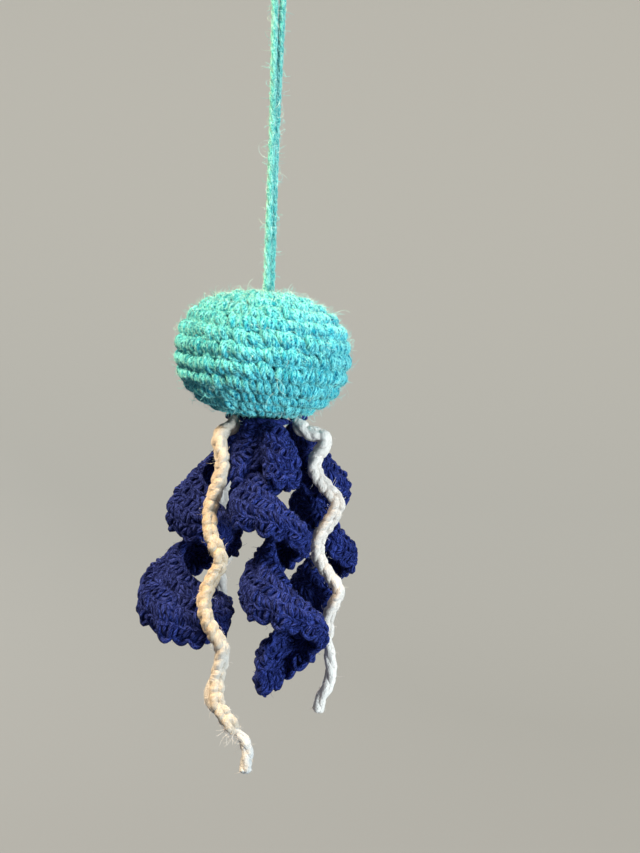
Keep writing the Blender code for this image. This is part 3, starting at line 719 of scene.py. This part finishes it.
# Stations of each curl: turns from the left side, shift of its axis from its
# seat in X, Y and Z, reach of the rim from the axis, drop of the rim.
frontStations = [
    (-0.16, 0.2, -0.2, -0.6, 9.0, 15.0), (0.00, 0.2, -0.6, -0.6, 10.4, 19.0),
    (0.09, 0.2, -1.0, -0.6, 10.0, 19.0), (0.18, 0.2, -1.4, -0.8, 5.2, 10.0),
    (0.25, 0.2, -2.0, -1.2, 7.8, 13.0), (0.34, 0.4, -2.8, -2.0, 10.2, 17.5),
    (0.50, 0.4, -3.4, -3.4, 9.8, 16.0),
    (0.75, 0.2, -4.6, -9.0, 10.8, 15.5), (1.00, 0.0, -5.4, -16.2, 10.4, 15.5),
    (1.25, 0.6, -5.4, -21.4, 11.8, 13.0), (1.50, 2.4, -5.4, -29.6, 12.4, 12.0),
    (1.75, 4.4, -5.4, -35.2, 12.0, 16.0), (2.00, 6.0, -5.4, -42.6, 11.4, 18.6),
    (2.25, 7.2, -5.4, -51.0, 12.6, 14.0), (2.50, 8.6, -5.2, -60.4, 13.1, 12.0),
    (2.75, 9.6, -5.0, -65.0, 11.8, 21.5), (2.88, 10.6, -5.0, -66.4, 11.6, 24.5),
    (3.00, 11.4, -5.0, -67.4, 11.0, 21.0), (3.08, 12.0, -5.0, -68.0, 10.4, 18.0),
]
leftStations = [
    (0.45, -0.4, 0.0, -0.9, 6.5, 9.0), (0.75, -3.4, -0.6, -9.0, 9.0, 13.0),
    (1.00, -9.2, -1.4, -19.4, 11.8, 16.5), (1.25, -10.6, -1.8, -24.8, 12.6, 16.0),
    (1.50, -11.4, -2.2, -30.6, 12.2, 15.0), (1.75, -13.2, -2.4, -38.8, 13.0, 15.5),
    (2.00, -15.6, -2.4, -48.0, 15.6, 18.0), (2.25, -15.8, -2.4, -54.6, 15.0, 20.5),
    (2.50, -15.8, -2.4, -58.0, 14.8, 15.0), (2.56, -15.8, -2.4, -58.4, 13.8, 14.0),
]
rearStations = [
    (0.05, 0.4, 0.2, -0.8, 5.8, 17.0), (0.25, 2.4, 1.4, -5.0, 6.6, 18.0),
    (0.50, 7.2, 3.0, -14.0, 10.4, 14.0), (0.75, 8.6, 4.2, -18.6, 9.6, 12.5),
    (1.00, 9.4, 4.8, -22.4, 9.4, 13.0), (1.25, 10.0, 4.8, -30.6, 9.6, 12.5),
    (1.50, 11.0, 4.8, -39.6, 10.2, 12.5), (1.75, 11.2, 4.8, -45.0, 9.6, 12.0),
    (2.00, 10.8, 4.8, -50.2, 9.4, 12.5), (2.25, 10.8, 4.6, -56.0, 8.8, 10.5),
    (2.36, 10.8, 4.6, -57.6, 8.0, 9.5),
]
curls = {
    "front_curl": {"bearing": -66.0, "distance": 9.0, "stations": frontStations, "seed": 21,
                   "sewnTurns": 3, "collar": 4.2},
    "left_curl": {"bearing": 146.0, "distance": 7.8, "stations": leftStations, "seed": 22,
                  "sewnTurns": 2, "collar": 0.8},
    "rear_curl": {"bearing": 26.0, "distance": 15.0, "stations": rearStations, "seed": 23,
                  "sewnTurns": 1, "collar": 0.4},
}
seatGap = 0.3


def baseSeat(bearing, distance):
    # point just under the bell's underside, at a bearing and a distance from its middle
    n = bell["squareness"]
    drop = bell["height"] / 2 * (1.0 - (2 * distance / bell["width"]) ** n) ** (1.0 / n)
    angle = math.radians(bearing)
    return inBell(np.array([distance * math.cos(angle), distance * math.sin(angle), -drop - seatGap]))


def sectionProfile():
    # The strip leans out from its inner edge, bends down and tucks in at the rim:
    # its slope turns from lean to tuck, and out and down are the slope's running sums.
    p = np.linspace(0.0, 1.0, strip["profileSteps"] + 1)
    bend = np.clip((p - strip["bendFrom"]) / (1.0 - strip["bendFrom"]), 0.0, 1.0)
    slope = np.radians(strip["lean"] + (strip["tuck"] - strip["lean"]) * bend)
    out = np.concatenate([[0.0], np.cumsum(np.cos((slope[1:] + slope[:-1]) / 2))])
    down = np.concatenate([[0.0], np.cumsum(np.sin((slope[1:] + slope[:-1]) / 2))])
    return p, out / out.max(), down / down[-1]


profileAt, profileOut, profileDown = sectionProfile()


def curlMiddle(curl, turn, p):
    # middle surface of a curl: its axis plus a spoke that turns left-handed
    stations = np.array(curl["stations"])
    rows = smooth(stations, np.interp(turn, stations[:, 0], np.arange(len(stations))))
    angle = math.pi + 2 * math.pi * turn
    spoke = np.stack([np.cos(angle), np.sin(angle), 0 * angle], axis=-1)
    fromEnd = np.minimum(turn - stations[0, 0], stations[-1, 0] - turn)
    drop = rows[..., 5] * np.minimum(1.0, strip["endFrom"] + strip["endGrowth"] * fromEnd)
    # the collar: near the bell the inner edge stands out, where the rim reaches past collarFrom
    collar = curl["collar"] * np.clip((strip["collarTurns"] - (turn - stations[0, 0])) * strip["collarFade"],
                                      0.0, 1.0)
    past = (rows[..., 4] - strip["collarFrom"]) / strip["collarFrom"]
    inner = strip["innerReach"] + collar * np.clip(past, 0.0, 1.0)
    past = np.clip(p - 1.0, 0.0, None)
    reach = inner + (rows[..., 4] - inner) * (np.interp(p, profileAt, profileOut) - 0.3 * past)
    fall = drop * (np.interp(p, profileAt, profileDown) + 1.1 * past)
    return (curl["seat"] + rows[..., 1:4] + spoke * reach[..., None]
            - np.stack([0 * fall, 0 * fall, fall], axis=-1))


def curlSurface(curl):
    # The strip's faces stand out square to its middle surface. Towards the rim it
    # swells and draws in once a scallop, |sin(phase)|, and sways every two of them.
    stations = np.array(curl["stations"])
    first, last = stations[0, 0], stations[-1, 0]
    nearTurn, nearDown = strip["nearTurn"], strip["nearDown"]

    def plain(turn, p, out):
        turn = np.clip(turn, first + nearTurn, last - nearTurn)
        turn, p, out = np.broadcast_arrays(turn, np.maximum(p, nearDown), out)
        here = curlMiddle(curl, turn, p)
        way = curlMiddle(curl, turn + nearTurn, p) - curlMiddle(curl, turn - nearTurn, p)
        fall = curlMiddle(curl, turn, p + nearDown) - curlMiddle(curl, turn, p - nearDown)
        return here + unit(np.cross(fall, way)) * out[..., None]

    turns = np.linspace(first, last, strip["phaseSteps"])
    walked = runningLength(plain(turns, 1.0, 0.0))
    scallops = round(walked[-1] / strip["scallopWidth"])

    def phase(turn):
        return math.pi * scallops * np.interp(turn, turns, walked) / walked[-1]

    def surface(turn, p, out):
        at, p = phase(turn), np.asarray(p, float)
        drop = np.interp(turn, stations[:, 0], stations[:, 5])
        swell = strip["scallop"] * (np.abs(np.sin(at)) ** 0.7 - 0.45) / drop
        sway = strip["ruffle"] * np.sin(at + curl["seed"])
        return plain(turn, p + swell * p ** 5, out + sway * p ** 3)

    return surface, phase


def makeCurl(name):
    curl = curls[name]
    rng = np.random.default_rng(curl["seed"])
    curl["seat"] = baseSeat(curl["bearing"], curl["distance"])
    surface, phase = curlSurface(curl)
    stations = np.array(curl["stations"])
    first, last = stations[0, 0] + strip["endTrim"], stations[-1, 0] - strip["endTrim"]
    turns = np.linspace(first, last, strip["walkSteps"])
    rows = strip["rows"]
    shapes, skins = [], []
    for row in range(rows):
        p = (row + 0.5) / rows
        walked = runningLength(surface(turns, p, 0.0))
        count = max(3, round(walked[-1] / strip["stitchWidth"]))
        for face in (1.0, -1.0):
            at = (np.arange(count) + (0.5 if face > 0 else 0.9) + 0.37 * row) * walked[-1] / count
            centreU = np.interp(at % walked[-1], walked, turns)
            perU = np.interp(centreU, turns, np.gradient(walked, turns))
            edgeIn, edgeOut = surface(centreU, p - 0.1, 0.0), surface(centreU, p + 0.1, 0.0)
            perV = np.linalg.norm(edgeOut - edgeIn, axis=1) / 0.2
            skins.append(layLegs(surface, centreU, np.full(count, p), perU, perV, walked[-1] / count,
                                 perV / rows, face, strip, rng, 1.0 if row % 2 else -0.7))
        # the loops of this row's stitches, a waving strand on each face
        steps = np.arange(0.0, walked[-1], strip["barStep"])
        loopU = np.interp(steps, walked, turns)
        wave = 2 * math.pi * steps * count / walked[-1]
        for face in (1.0, -1.0):
            loopP = (row + 0.06 * np.sin(wave + face)) / rows + 0.02
            loopOut = face * (strip["barOut"] + 0.25 * np.cos(wave))
            shapes.append(layStrand(surface, loopU, loopP, loopOut, loopOut, loopOut + 0.3 * face,
                                    strip["barRadius"], strip["sides"], rng.random(1)))
    # the rim: two strands that bulge past the edge once a scallop
    walked = runningLength(surface(turns, 1.0, 0.0))
    rimU = np.interp(np.arange(0.0, walked[-1], strip["rimStep"]), walked, turns)
    bulge = np.abs(np.sin(phase(rimU))) ** 0.7
    drop = np.interp(rimU, stations[:, 0], stations[:, 5])
    rimP = 1.0 + (0.1 + strip["rimBulge"] * bulge) / drop / 1.1
    for side in (-1.0, 1.0):
        rimOut = side * strip["rimSplit"] * (1.0 - 0.5 * bulge)
        skins.append(layStrand(surface, rimU, rimP, rimOut, rimOut - 0.3 * side, rimOut + 0.3 * side,
                               strip["rimRadius"] * (0.8 + 0.3 * bulge), strip["sides"], rng.random(1)))
    # a closed thin core keeps daylight out between the stitches
    coreU = np.linspace(first, last, round((last - first) * strip["corePerTurn"]))
    coreP = np.linspace(0.0, 0.99, strip["coreRows"])
    upper = surface(coreU[:, None], coreP[None], strip["coreHalf"])
    under = surface(coreU[:, None], coreP[None], -strip["coreHalf"])
    core = np.concatenate([upper, under[:, ::-1]], axis=1)[None]
    shapes.append(ringsToShape(core, core[:, 0].mean(axis=1), core[:, -1].mean(axis=1),
                               10 * coreU[None], np.array([0.2])))
    # the foundation yarn along the inner edge
    innerU = np.linspace(first, last, round((last - first) * strip["innerPerTurn"]))
    shapes.append(layStrand(surface, innerU, 0.01, 0.0, 0.0, 0.4, strip["innerRadius"], strip["sides"],
                            rng.random(1)))
    # the sewn start: a strand that spirals out flat under the bell
    a = np.linspace(0.0, 2 * math.pi * curl["sewnTurns"], strip["sewnPerTurn"] * curl["sewnTurns"])
    out = strip["sewnStart"] + strip["sewnPitch"] * a / (2 * math.pi)
    spiral = np.stack([-out * np.sin(a), out * np.cos(a), strip["sewnDrop"] + 0.05 * out], axis=1)
    up = np.broadcast_to([0.0, 0.0, 1.0], spiral.shape)
    skins.append(sweep((curl["seat"] + spiral)[None], up[None], np.full((1, len(a)), strip["sewnRadius"]),
                       strip["sides"], rng.random(1)))
    piece = makePiece(name + "_stitches", joined(shapes + skins), navyYarn)
    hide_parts(name)
    count = round(curlFuzz["perTurn"] * (last - first))
    fuzz(name + "_fuzz", skins, count, curlFuzz, navyFibre, rng)


curlFuzz = {"perTurn": 1050, "length": (0.8, 2.8), "rarity": 1.8, "lift": (-0.1, 0.8), "curl": (1.0, 3.6),
            "rings": 3, "thickness": 0.15}
for name in curls:
    makeCurl(name)


# Tentacles

chain = {"pitch": 4.3, "width": 5.2, "yarnRadius": 1.5, "depth": 0.95, "sides": 9, "steps": 3,
         "start": 1.0, "pathStep": 0.5, "waverAcross": 0.06, "waverOut": 0.08,
         "tailWidth": 3.9, "tailPlies": 3, "tailPitch": 22.0, "tailSides": 8, "tailNeck": 0.55,
         "tailNeckFrom": 1.5, "tailNeckLength": 5.0, "tailBack": 1.5, "linkEnd": 0.9,
         "slimFrom": 0.55, "slimFade": 4, "rollMean": 0.75, "rollSwing": 0.35, "rollRate": 0.11,
         "beat": 0.08, "beatRate": 2.3,
         "spareOff": 2.7, "spareBehind": 0.9, "spareRadius": 1.5, "sparePale": 0.8}
# One chain stitch: across, along and out of the cord, in half widths, pitches and depths.
chainLoop = np.array([
    (0.00, -0.10, -0.9), (-0.35, 0.15, 0.5), (-0.85, 0.55, 1.0), (-1.05, 1.00, 0.6),
    (-0.75, 1.42, -0.2), (0.00, 1.62, -0.8), (0.75, 1.42, -0.2), (1.05, 1.00, 0.6),
    (0.85, 0.55, 1.0), (0.35, 0.15, 0.5), (0.05, 0.15, -0.9), (0.00, 0.50, -1.4),
])
leftRoute = [
    (0.0, 0.0, -0.2), (-0.9, -1.0, -3.2), (-3.2, -2.8, -4.6), (-4.9, -4.6, -6.8),
    (-4.3, -6.0, -10.6), (-3.3, -7.0, -15.2), (-4.0, -7.2, -19.8), (-5.4, -7.2, -24.8),
    (-6.8, -7.6, -29.6), (-7.1, -8.4, -34.8), (-6.1, -9.0, -39.8), (-3.8, -8.8, -44.6),
    (-2.9, -8.2, -48.4), (-4.9, -7.8, -52.6), (-7.1, -8.0, -57.4), (-7.9, -8.8, -61.8),
    (-6.9, -9.6, -66.8), (-4.4, -9.6, -71.8), (-1.8, -8.8, -75.8), (-1.4, -7.8, -80.4),
    (-2.6, -7.2, -85.8), (-2.8, -7.6, -90.8), (-2.4, -8.2, -95.4), (0.2, -8.2, -100.0),
    (3.2, -7.6, -103.8), (6.4, -7.0, -107.2), (8.2, -6.8, -111.2), (8.1, -6.8, -115.0),
    (7.9, -6.8, -118.6),
]
rightRoute = [
    (0.0, 0.0, -0.2), (1.8, -0.2, -3.3), (5.4, -0.4, -5.0), (9.2, -0.6, -5.8),
    (9.7, -0.8, -8.8), (7.6, -0.8, -11.6), (6.4, -0.4, -15.6), (7.7, 0.0, -19.6),
    (11.8, 0.2, -24.2), (14.8, 0.0, -28.0), (12.9, -0.4, -33.4), (9.6, -0.6, -38.6),
    (8.4, -0.4, -43.4), (9.8, 0.0, -48.6), (13.4, 0.2, -53.6), (16.4, 0.2, -58.2),
    (14.8, 0.0, -62.8), (13.0, 0.2, -67.6), (13.2, 0.8, -72.4), (13.9, 1.0, -77.4),
    (14.5, 0.8, -82.4), (14.8, 0.4, -87.2), (13.7, 0.2, -91.6), (11.7, 0.2, -95.6),
    (10.8, 0.2, -99.6),
]
rearRoute = [
    (0.0, 0.0, -0.2), (-0.5, 1.0, -4.0), (-3.4, 4.0, -9.6), (-7.4, 6.6, -16.0),
    (-9.8, 7.8, -22.6), (-11.0, 8.0, -28.6), (-9.8, 8.0, -34.4), (-8.0, 7.8, -40.2),
    (-7.6, 7.4, -45.2), (-8.8, 7.2, -50.0), (-10.4, 7.4, -55.2), (-10.0, 7.6, -60.6),
    (-10.0, 7.6, -66.4),
]
# pale: shares along each cord by which its colour runs to its yarn's lighter colour; the right cord's pale
# top, where it hangs in the bell's shade, is painted light
tentacles = {
    "left_tentacle": {"bearing": 226.0, "distance": 10.2, "route": leftRoute, "tailFrom": 0.88,
                      "seed": 31, "slim": 0.0, "yarn": warmCreamYarn, "spare": (0.73, 0.83), "wisps": 60,
                      "pale": ((0.0, 0.5), (0.15, 0.35), (0.3, 0.0), (0.6, 0.05), (0.68, 0.7), (0.76, 0.3),
                               (0.86, 0.25), (1.0, 1.0))},
    "right_tentacle": {"bearing": -12.0, "distance": 13.8, "route": rightRoute, "tailFrom": 0.80,
                       "seed": 32, "slim": 0.15, "yarn": creamYarn, "wisps": 0,
                       "pale": ((0.0, 0.8), (0.3, 0.0), (0.7, 0.2), (1.0, 0.9))},
    "rear_tentacle": {"bearing": 97.0, "distance": 10.6, "route": rearRoute, "tailFrom": 0.86,
                      "seed": 33, "slim": 0.0, "yarn": creamYarn, "wisps": 0,
                      "pale": ((0.0, 0.2), (1.0, 0.8))},
}


def makeTentacle(name):
    tentacle = tentacles[name]
    rng = np.random.default_rng(tentacle["seed"])
    seat = baseSeat(tentacle["bearing"], tentacle["distance"])
    path = evenPath(tentacle["route"], chain["pathStep"]) + seat
    length = lineLength(path)
    s = np.linspace(0.0, length, len(path))
    chainEnd = length * tentacle["tailFrom"]
    links = round((chainEnd - chain["linkEnd"] * chain["pitch"]) / chain["pitch"])
    tangent = unit(np.gradient(path, axis=0))
    front = np.array([0.0, -1.0, 0.0])
    face = unit(front - tangent * (tangent @ front)[:, None])
    side = np.cross(tangent, face)
    across = np.concatenate([chainLoop + np.array([0.0, k, 0.0]) for k in range(links)])
    across[:, 0] += rng.normal(0.0, chain["waverAcross"], len(across))
    across[:, 2] += rng.normal(0.0, chain["waverOut"], len(across))
    fine = smooth(across, np.linspace(0, len(across) - 1, chain["steps"] * len(across)))
    at = np.clip(fine[:, 1] * chain["pitch"] + chain["start"], 0.0, chainEnd)

    def read(rows):
        return np.stack([np.interp(at, s, rows[:, k]) for k in range(3)], axis=1)

    slimmed = np.clip((at / chainEnd - chain["slimFrom"]) * chain["slimFade"], 0.0, 1.0)
    thin = 1.0 - tentacle["slim"] * slimmed
    half = (chain["width"] / 2 - chain["yarnRadius"]) * thin
    roll = chain["rollMean"] + chain["rollSwing"] * np.sin(at * chain["rollRate"] + tentacle["seed"])
    a, b = fine[:, 0] * half, fine[:, 2] * chain["depth"] * thin
    offset = (read(side) * (a * np.cos(roll) - b * np.sin(roll))[:, None]
              + read(unit(face)) * (a * np.sin(roll) + b * np.cos(roll))[:, None])
    points = (read(path) + offset)[None]
    refs = unit(offset + 0.25 * np.sign(fine[:, 2:3]) * read(face))[None]
    radii = (chain["yarnRadius"] * thin * (1.0 + chain["beat"] * np.sin(at * chain["beatRate"])))[None]
    loops = sweep(points, refs, radii, chain["sides"], rng.random(1))
    places, shares = zip(*tentacle["pale"])
    paleAt = np.interp(at / length, places, shares)
    loops["pale"] = np.concatenate([np.repeat(paleAt, chain["sides"]), paleAt[[0, -1]]])
    # the loose yarn end comes thin out of the last link and then opens
    tailStart = (links + chain["linkEnd"]) * chain["pitch"] - chain["tailBack"]
    isTail = s > tailStart
    opened = np.clip((s[isTail] - tailStart - chain["tailNeckFrom"]) / chain["tailNeckLength"], 0.0, 1.0)
    neck = chain["tailNeck"] + (1.0 - chain["tailNeck"]) * opened
    ply = {"plies": chain["tailPlies"], "plyPitch": chain["tailPitch"], "sides": chain["tailSides"],
           "plyOffset": chain["tailWidth"] * 0.19 * neck, "plyRadius": chain["tailWidth"] * 0.36 * neck}
    end = plied(path[isTail], face[isTail], ply, rng)
    end["pale"][:] = shares[-1]
    strands = [loops, end]
    if "spare" in tentacle:
        # a slack loop of the yarn beside the chain, which stands off as sin(pi t)
        isSpare = (s > tentacle["spare"][0] * length) & (s < tentacle["spare"][1] * length)
        t = np.linspace(0.0, 1.0, isSpare.sum())
        slack = (path[isSpare] - face[isSpare] * chain["spareBehind"]
                 + chain["spareOff"] * side[isSpare] * np.sin(math.pi * t)[:, None] ** 0.8)
        spare = sweep(slack[None], face[isSpare][None], np.full((1, len(t)), chain["spareRadius"]),
                      chain["sides"], rng.random(1))
        spare["pale"][:] = chain["sparePale"]
        strands.append(spare)
    piece = makePiece(name + "_chain", joined(strands), tentacle["yarn"])
    hairs = [fuzz(name + "_fuzz", strands, round(tentacleFuzz["perMillimetre"] * length), tentacleFuzz,
                  creamFibre, rng)]
    if tentacle["wisps"]:
        # a tuft of stray fibres where the chain ends
        count = tentacle["wisps"]
        near = np.argmin(np.abs(s - tailStart)) + rng.integers(-3, 6, count)
        away = unit(rng.normal(size=(count, 3)) + np.array(wisps["way"]))
        tuft = fibres(path[near] + away * wisps["off"], away, tangent[near], wisps, rng)
        hairs.append(makePiece(name + "_wisps", tuft, creamFibre))
    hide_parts(name)


tentacleFuzz = {"perMillimetre": 9.0, "length": (0.6, 3.8), "rarity": 2.6, "lift": (0.05, 1.1),
                "curl": (0.8, 3.6), "rings": 3, "thickness": 0.12}
wisps = {"length": (2.0, 7.5), "rarity": 0.9, "lift": (0.8, 1.5), "curl": (0.8, 3.6), "rings": 9,
         "thickness": 0.15, "off": 0.8, "way": (-1.2, -0.6, -2.2)}
for name in tentacles:
    makeTentacle(name)


# Floor, wall and lights

studio = {"floor": -1.05, "wall": 1.5, "sweep": 0.7, "height": 2.5, "sides": 96, "sweepSteps": 17,
          "middle": 0.02, "wallColour": (0.62, 0.61, 0.60), "floorColour": (0.45, 0.445, 0.44),
          "air": (0.78, 0.88, 1.0), "airStrength": 0.19, "aim": (0.0, 0.0, -0.2)}
# Each lamp: its place and size in metres, its power and its colour.
lamps = {
    "windowLight": ((-0.42, -0.45, 0.75), 0.30, 27.0, (1.0, 0.83, 0.55)),
    "roomLight": ((0.85, -0.62, -0.30), 0.40, 15.5, (0.74, 0.92, 1.0)),
    "backLight": ((0.30, 0.90, 0.30), 0.60, 9.0, (1.0, 0.96, 0.92)),
    "ceilingLight": ((0.0, 0.0, 1.7), 1.8, 7.0, (1.0, 0.97, 0.93)),
}


def makeBackdrop():
    # a round pale floor that runs up into a wall on all sides: flat, a quarter round, then upright
    a = np.linspace(0.0, math.pi / 2, studio["sweepSteps"])
    curve = studio["wall"] - studio["sweep"] + studio["sweep"] * np.sin(a)
    out = np.concatenate([[studio["middle"]], curve, [studio["wall"]]])
    z = np.concatenate([[0.0], studio["sweep"] * (1 - np.cos(a)), [studio["height"]]]) + studio["floor"]
    turn = np.arange(studio["sides"]) * 2 * math.pi / studio["sides"]
    verts = turned(out[:, None], turn, z[:, None]).reshape(-1, 3)
    n = studio["sides"]
    faces = [(r * n + k, r * n + (k + 1) % n, (r + 1) * n + (k + 1) % n, (r + 1) * n + k)
             for r in range(len(out) - 1) for k in range(n)]
    faces.append(tuple(range(n - 1, -1, -1)))
    mesh = bpy.data.meshes.new("backdrop")
    mesh.from_pydata(verts.tolist(), [], faces)
    mesh.shade_smooth()
    paper = bpy.data.materials.new("palePaper")
    paper.use_nodes = True
    tree = paper.node_tree
    shader = tree.nodes["Principled BSDF"]
    # the floor lies square to the lamps, so its paper is a shade darker than the wall's
    split = addNode(tree, "ShaderNodeSeparateXYZ")
    tree.links.new(addNode(tree, "ShaderNodeTexCoord").outputs["Object"], split.inputs[0])
    ends = [addNode(tree, "ShaderNodeRGB").outputs[0] for _ in range(2)]
    for end, key in zip(ends, ("floorColour", "wallColour")):
        end.default_value = (*studio[key], 1.0)
    rise = ramp(tree, split.outputs[2], studio["floor"], studio["floor"] + studio["sweep"])
    tree.links.new(mixColour(tree, rise, *ends), shader.inputs["Base Color"])
    shader.inputs["Roughness"].default_value = 0.95
    mesh.materials.append(paper)
    backdrop = bpy.data.objects.new("backdrop", mesh)
    bpy.context.scene.collection.objects.link(backdrop)
    # the wall gives back no light, so the charm's shaded side keeps its depth
    backdrop.visible_diffuse = False
    backdrop.visible_shadow = False


def makeLamp(name):
    place, size, power, colour = lamps[name]
    data = bpy.data.lights.new(name, "AREA")
    data.size = size
    data.energy = power
    data.color = colour
    lamp = bpy.data.objects.new(name, data)
    lamp.location = place
    lamp.rotation_euler = (Vector(studio["aim"]) - Vector(place)).to_track_quat("-Z", "Y").to_euler()
    lamp.visible_camera = False
    bpy.context.scene.collection.objects.link(lamp)


def makeAir():
    world = bpy.data.worlds.new("studioAir")
    bpy.context.scene.world = world
    world.use_nodes = True
    air = world.node_tree.nodes["Background"]
    air.inputs["Color"].default_value = (*studio["air"], 1.0)
    air.inputs["Strength"].default_value = studio["airStrength"]


makeBackdrop()
for name in lamps:
    makeLamp(name)
makeAir()
bpy.context.scene.view_settings.view_transform = "Standard"
print("studio lit")
